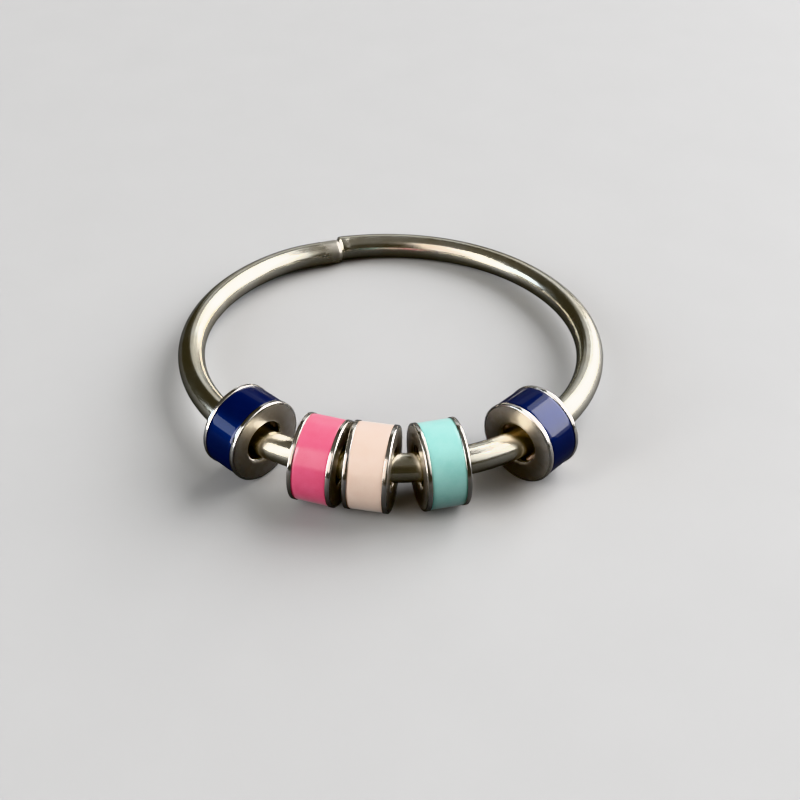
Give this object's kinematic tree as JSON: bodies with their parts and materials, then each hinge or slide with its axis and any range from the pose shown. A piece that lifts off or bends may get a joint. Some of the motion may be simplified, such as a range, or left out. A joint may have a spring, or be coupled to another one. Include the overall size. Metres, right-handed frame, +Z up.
{
  "type": "spinner ring",
  "caption": "Thin round-wire finger ring with a row of loose enamelled spool beads that spin on the band.",
  "frame": {"origin": "centre of the footprint on the surface that the ring lies on", "axes": "+Z up from the surface, -Y towards the front, where the beads are, and +X to the right seen from the front"},
  "size_m": [0.0194, 0.0206, 0.0036],
  "materials": {
    "band_metal": "polished",
    "bead_metal": "polished",
    "enamel_navy": "gloss",
    "enamel_pink": "gloss",
    "enamel_peach": "gloss",
    "enamel_mint": "gloss"
  },
  "bodies": {
    "band": {"band": "band_metal"},
    "navy_left_bead": {"navy_left_sleeve": "bead_metal", "navy_left_enamel": "enamel_navy"},
    "pink_bead": {"pink_sleeve": "bead_metal", "pink_enamel": "enamel_pink"},
    "peach_bead": {"peach_sleeve": "bead_metal", "peach_enamel": "enamel_peach"},
    "mint_bead": {"mint_sleeve": "bead_metal", "mint_enamel": "enamel_mint"},
    "navy_right_bead": {"navy_right_sleeve": "bead_metal", "navy_right_enamel": "enamel_navy"}
  },
  "joints": [
    {"name": "navy_left_spin", "type": "hinge", "parent": "band", "child": "navy_left_bead", "pos_m": [-0.00571, -0.0064, 0.0018], "axis": [0.7484, -0.6632, 0], "continuous": true},
    {"name": "pink_spin", "type": "hinge", "parent": "band", "child": "pink_bead", "pos_m": [-0.00263, -0.00803, 0.0018], "axis": [0.9595, -0.2819, 0], "continuous": true},
    {"name": "peach_spin", "type": "hinge", "parent": "band", "child": "peach_bead", "pos_m": [-0.00062, -0.0084, 0.0018], "axis": [0.985, -0.1727, 0], "continuous": true},
    {"name": "mint_spin", "type": "hinge", "parent": "band", "child": "mint_bead", "pos_m": [0.00204, -0.00819, 0.0018], "axis": [0.9691, 0.2468, 0], "continuous": true},
    {"name": "navy_right_spin", "type": "hinge", "parent": "band", "child": "navy_right_bead", "pos_m": [0.00589, -0.00626, 0.0018], "axis": [0.6927, 0.7213, 0], "continuous": true}
  ]
}
